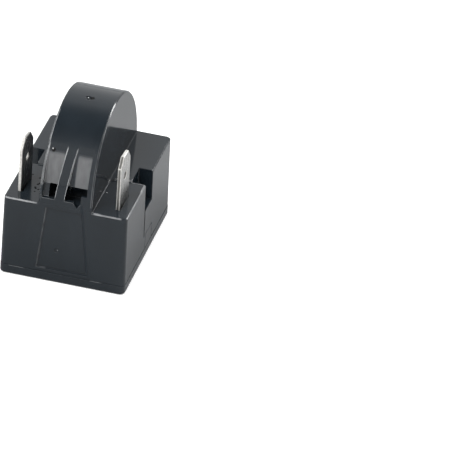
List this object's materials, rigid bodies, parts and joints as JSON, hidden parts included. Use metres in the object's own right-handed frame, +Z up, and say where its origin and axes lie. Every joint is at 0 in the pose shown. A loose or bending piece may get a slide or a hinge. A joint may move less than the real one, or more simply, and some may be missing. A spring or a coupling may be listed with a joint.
{
  "type": "compressor start relay",
  "caption": "Plug-on start relay for a refrigeration compressor, with a half-round drum, push-on tabs and sockets for the compressor pins.",
  "frame": {"origin": "centre of the underside of the base cover, on the centre line of the case", "axes": "+X to the right seen from the front, +Y towards the back, +Z up through the drum; the compressor pins enter from below"},
  "size_m": [0.0284, 0.0364, 0.0372],
  "materials": {
    "case_plastic": "glossy moulded slate black plastic",
    "ceramic": "grey fired ceramic with a silvered face",
    "rivet_brass": "plain brass",
    "spring_steel": "rolled spring steel strip",
    "tinned_brass": "tinned brass strip, satin"
  },
  "bodies": {
    "root": {"housing": "case_plastic", "base_cover": "case_plastic", "resistor_pill": "ceramic", "rivets": "rivet_brass", "pressure_spring_left": "spring_steel", "pressure_spring_right": "spring_steel", "tab_terminal_left": "tinned_brass", "tab_terminal_right": "tinned_brass", "pin_socket_left": "tinned_brass", "pin_socket_right": "tinned_brass", "socket_clip_left": "spring_steel", "socket_clip_right": "spring_steel"}
  },
  "joints": []
}
